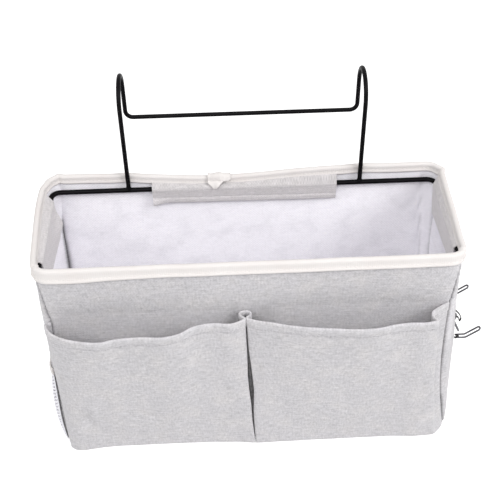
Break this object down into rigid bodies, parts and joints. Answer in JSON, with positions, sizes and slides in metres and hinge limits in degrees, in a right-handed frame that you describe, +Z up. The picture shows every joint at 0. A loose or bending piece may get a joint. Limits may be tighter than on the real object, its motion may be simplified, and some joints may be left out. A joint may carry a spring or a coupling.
{
  "type": "bedside caddy",
  "caption": "Rectangular cloth bedside caddy with a bound rim, a wire hoop, a bent wire rail hanger behind, pleated front pockets, a net side pocket and swinging wire side hooks.",
  "frame": {"origin": "middle of the flat underside of the base, which the caddy stands on", "axes": "+Z up, +X to the right as seen from the front, +Y towards the hanger at the back, so the front pockets face -Y"},
  "size_m": [0.3593, 0.1649, 0.2912],
  "materials": {
    "linen_cloth": "matte plain weave",
    "facing_cloth": "matte plain weave",
    "cream_binding": "matte tape",
    "black_wire": "satin black coat",
    "bright_wire": "polished",
    "white_net": "knitted net",
    "black_tape": "matte tape"
  },
  "bodies": {
    "bag": {"front_panel": "linen_cloth", "back_panel": "linen_cloth", "left_side_panel": "linen_cloth", "right_side_panel": "linen_cloth", "base_panel": "linen_cloth", "rim_binding": "cream_binding", "binding_tail": "cream_binding", "wire_hoop": "black_wire", "hanger_wire": "black_wire", "rear_hoop_tab": "facing_cloth", "front_hoop_sleeve": "facing_cloth", "left_hoop_sleeve": "facing_cloth", "right_hoop_sleeve": "facing_cloth", "left_front_pocket": "linen_cloth", "right_front_pocket": "linen_cloth", "net_pocket": "white_net", "net_pocket_hem": "white_net", "front_hook_loop": "black_tape", "middle_hook_loop": "black_tape", "rear_hook_loop": "black_tape"},
    "front_hook": {"front_side_hook": "bright_wire"},
    "middle_hook": {"middle_side_hook": "bright_wire"},
    "rear_hook": {"rear_side_hook": "bright_wire"}
  },
  "joints": [
    {"name": "front_hook_swing", "type": "hinge", "parent": "bag", "child": "front_hook", "pos_m": [0.17194, -0.027, 0.091], "axis": [0, 1, 0], "range_deg": [-25, 95]},
    {"name": "middle_hook_swing", "type": "hinge", "parent": "bag", "child": "middle_hook", "pos_m": [0.17644, -0.002, 0.091], "axis": [0, 1, 0], "range_deg": [-128, 0]},
    {"name": "rear_hook_swing", "type": "hinge", "parent": "bag", "child": "rear_hook", "pos_m": [0.1731, 0.023, 0.091], "axis": [0, 1, 0], "range_deg": [-25, 95]}
  ]
}
